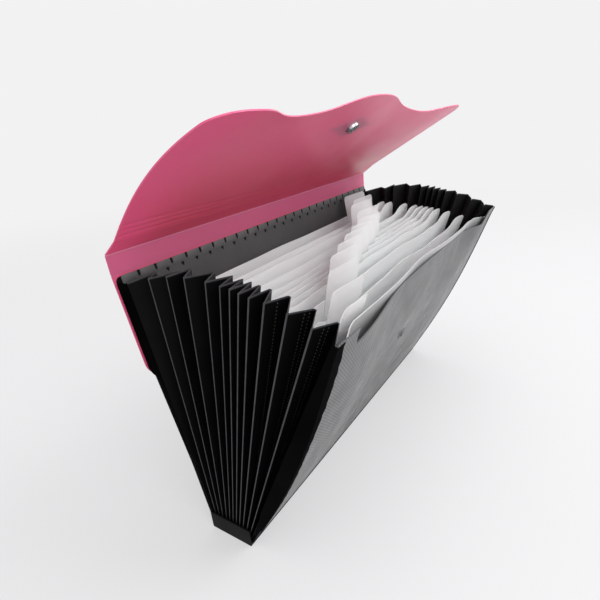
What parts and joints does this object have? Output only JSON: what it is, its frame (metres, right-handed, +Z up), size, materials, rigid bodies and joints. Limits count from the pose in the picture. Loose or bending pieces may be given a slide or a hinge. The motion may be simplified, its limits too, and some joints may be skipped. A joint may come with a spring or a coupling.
{
  "type": "accordion file folder",
  "caption": "Expanding file folder standing open as a fan, with pleated ends, frosted tabbed dividers and a wave-edged flap that folds over the front and snaps shut.",
  "frame": {"origin": "middle of the flat underside of the base", "axes": "+X along the folder, -Y towards the front cover, +Z up"},
  "size_m": [0.353, 0.1572, 0.3007],
  "materials": {
    "black_trim": "satin",
    "black_pleats": "satin",
    "grey_liner": "matte",
    "grey_cover": "fine line texture",
    "pink_sheet": "translucent",
    "frosted_sheet": "frosted",
    "clear_tab": "clear",
    "dark_plate": "matte",
    "snap_metal": "polished",
    "snap_grey": "smooth"
  },
  "bodies": {
    "base": {"base_spine": "black_trim", "left_gusset": "black_pleats", "right_gusset": "black_pleats"},
    "front_cover": {"front_cover": "grey_cover", "front_liner": "frosted_sheet", "snap_stud": "snap_grey", "snap_post": "snap_grey"},
    "back_cover": {"back_cover": "black_trim", "back_liner": "grey_liner", "flap_back_panel": "pink_sheet"},
    "divider_01": {"divider_01": "frosted_sheet", "tab_01": "clear_tab"},
    "divider_02": {"divider_02": "frosted_sheet", "tab_02": "clear_tab"},
    "divider_03": {"divider_03": "frosted_sheet", "tab_03": "clear_tab"},
    "divider_04": {"divider_04": "frosted_sheet", "tab_04": "clear_tab"},
    "divider_05": {"divider_05": "frosted_sheet", "tab_05": "clear_tab"},
    "divider_06": {"divider_06": "frosted_sheet", "tab_06": "clear_tab"},
    "divider_07": {"divider_07": "frosted_sheet", "tab_07": "clear_tab"},
    "divider_08": {"divider_08": "frosted_sheet", "tab_08": "clear_tab"},
    "divider_09": {"divider_09": "frosted_sheet", "tab_09": "clear_tab"},
    "divider_10": {"divider_10": "frosted_sheet", "tab_10": "clear_tab"},
    "divider_11": {"divider_11": "frosted_sheet", "tab_11": "clear_tab"},
    "divider_12": {"divider_12": "frosted_sheet", "tab_12": "clear_tab"},
    "flap_strip": {"flap_strip": "pink_sheet"},
    "flap_band": {"flap_band": "pink_sheet"},
    "flap": {"flap": "pink_sheet", "snap_plate": "dark_plate", "snap_cap": "snap_metal", "snap_socket": "snap_metal"}
  },
  "joints": [
    {"name": "front_hinge", "type": "hinge", "parent": "base", "child": "front_cover", "pos_m": [0, -0.01905, 0.0022], "axis": [1, 0, 0], "range_deg": [-26.33, 10], "deforming": ["left_gusset", "right_gusset"]},
    {"name": "back_hinge", "type": "hinge", "parent": "base", "child": "back_cover", "pos_m": [0, 0.01905, 0.0022], "axis": [1, 0, 0], "range_deg": [-5.08, 13.35]},
    {"name": "divider_hinge_01", "type": "hinge", "parent": "base", "child": "divider_01", "pos_m": [0, 0.01641, 0.0022], "axis": [1, 0, 0], "range_deg": [-3.86, 10.13]},
    {"name": "divider_hinge_02", "type": "hinge", "parent": "base", "child": "divider_02", "pos_m": [0, 0.01342, 0.0022], "axis": [1, 0, 0], "range_deg": [-1.51, 3.95]},
    {"name": "divider_hinge_03", "type": "hinge", "parent": "base", "child": "divider_03", "pos_m": [0, 0.01044, 0.0022], "axis": [1, 0, 0], "range_deg": [-0.55, 1.41]},
    {"name": "divider_hinge_04", "type": "hinge", "parent": "base", "child": "divider_04", "pos_m": [0, 0.00746, 0.0022], "axis": [1, 0, 0], "range_deg": [-3.66, 1.4]},
    {"name": "divider_hinge_05", "type": "hinge", "parent": "base", "child": "divider_05", "pos_m": [0, 0.00447, 0.0022], "axis": [1, 0, 0], "range_deg": [-7.03, 2.68]},
    {"name": "divider_hinge_06", "type": "hinge", "parent": "base", "child": "divider_06", "pos_m": [0, 0.00149, 0.0022], "axis": [1, 0, 0], "range_deg": [-8.82, 3.36]},
    {"name": "divider_hinge_07", "type": "hinge", "parent": "base", "child": "divider_07", "pos_m": [0, -0.00149, 0.0022], "axis": [1, 0, 0], "range_deg": [-10.21, 3.89]},
    {"name": "divider_hinge_08", "type": "hinge", "parent": "base", "child": "divider_08", "pos_m": [0, -0.00447, 0.0022], "axis": [1, 0, 0], "range_deg": [-11.7, 4.46]},
    {"name": "divider_hinge_09", "type": "hinge", "parent": "base", "child": "divider_09", "pos_m": [0, -0.00746, 0.0022], "axis": [1, 0, 0], "range_deg": [-13.49, 5.14]},
    {"name": "divider_hinge_10", "type": "hinge", "parent": "base", "child": "divider_10", "pos_m": [0, -0.01044, 0.0022], "axis": [1, 0, 0], "range_deg": [-16.63, 6.33]},
    {"name": "divider_hinge_11", "type": "hinge", "parent": "base", "child": "divider_11", "pos_m": [0, -0.01342, 0.0022], "axis": [1, 0, 0], "range_deg": [-20.83, 7.92]},
    {"name": "divider_hinge_12", "type": "hinge", "parent": "base", "child": "divider_12", "pos_m": [0, -0.01641, 0.0022], "axis": [1, 0, 0], "range_deg": [-24.47, 9.3]},
    {"name": "strip_crease", "type": "hinge", "parent": "back_cover", "child": "flap_strip", "pos_m": [0, 0.05609, 0.20739], "axis": [-1, 0, 0], "range_deg": [-45.19, 17.17]},
    {"name": "flap_crease", "type": "hinge", "parent": "flap_strip", "child": "flap_band", "pos_m": [0, 0.05666, 0.22037], "axis": [-1, 0, 0], "range_deg": [-37, 147]},
    {"name": "flap_score", "type": "hinge", "parent": "flap_band", "child": "flap", "pos_m": [0, 0.04449, 0.22971], "axis": [-1, 0, 0], "range_deg": [-28.67, 20]}
  ],
  "couplings": [
    {"joint": "back_hinge", "follows": "front_hinge", "ratio": -0.50629},
    {"joint": "divider_hinge_01", "follows": "front_hinge", "ratio": -0.384},
    {"joint": "divider_hinge_02", "follows": "front_hinge", "ratio": -0.14936},
    {"joint": "divider_hinge_03", "follows": "front_hinge", "ratio": -0.0526},
    {"joint": "divider_hinge_04", "follows": "front_hinge", "ratio": 0.13816},
    {"joint": "divider_hinge_05", "follows": "front_hinge", "ratio": 0.26625},
    {"joint": "divider_hinge_06", "follows": "front_hinge", "ratio": 0.33417},
    {"joint": "divider_hinge_07", "follows": "front_hinge", "ratio": 0.38706},
    {"joint": "divider_hinge_08", "follows": "front_hinge", "ratio": 0.44371},
    {"joint": "divider_hinge_09", "follows": "front_hinge", "ratio": 0.51164},
    {"joint": "divider_hinge_10", "follows": "front_hinge", "ratio": 0.63096},
    {"joint": "divider_hinge_11", "follows": "front_hinge", "ratio": 0.79039},
    {"joint": "divider_hinge_12", "follows": "front_hinge", "ratio": 0.92853},
    {"joint": "strip_crease", "follows": "front_hinge", "ratio": 1.7154}
  ]
}
